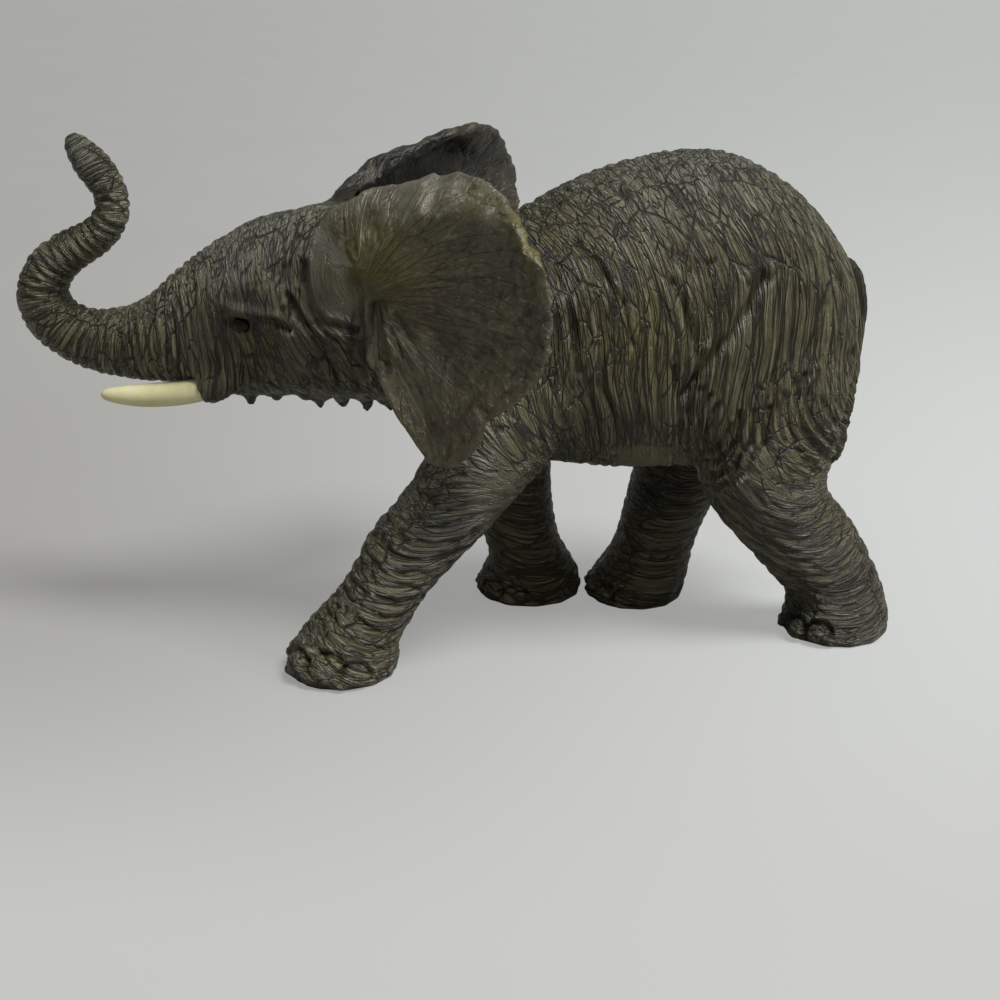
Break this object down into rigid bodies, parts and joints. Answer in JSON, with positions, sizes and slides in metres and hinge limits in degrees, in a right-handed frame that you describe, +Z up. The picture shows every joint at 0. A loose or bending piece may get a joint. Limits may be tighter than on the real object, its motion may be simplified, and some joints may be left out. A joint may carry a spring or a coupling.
{
  "type": "toy wild animal figure",
  "caption": "Walking elephant calf toy figure with a raised ringed trunk, spread rolled ears, short tusks, wrinkled hide and legs set down in a walk.",
  "frame": {"origin": "middle of the bounding box on the ground the figure stands on", "axes": "+Z up, -X the way the elephant walks, -Y the elephant's left side, which the picture shows"},
  "size_m": [0.191, 0.0976, 0.1104],
  "materials": {
    "skin": "satin moulded plastic, dark wash in the creases and lighter dry brushing on the ridges",
    "ear_skin": "satin moulded plastic, dark wash with olive and brown tints",
    "ivory": "cream-yellow satin paint",
    "eye_black": "glossy near-black paint"
  },
  "bodies": {
    "root": {"torso": "skin", "head": "skin", "trunk": "skin", "lower_jaw": "skin", "ear_left": "ear_skin", "ear_right": "ear_skin", "tusk_left": "ivory", "tusk_right": "ivory", "eye_left": "eye_black", "eye_right": "eye_black", "tail": "skin", "foreleg_left": "skin", "foreleg_right": "skin", "hindleg_left": "skin", "hindleg_right": "skin"}
  },
  "joints": []
}
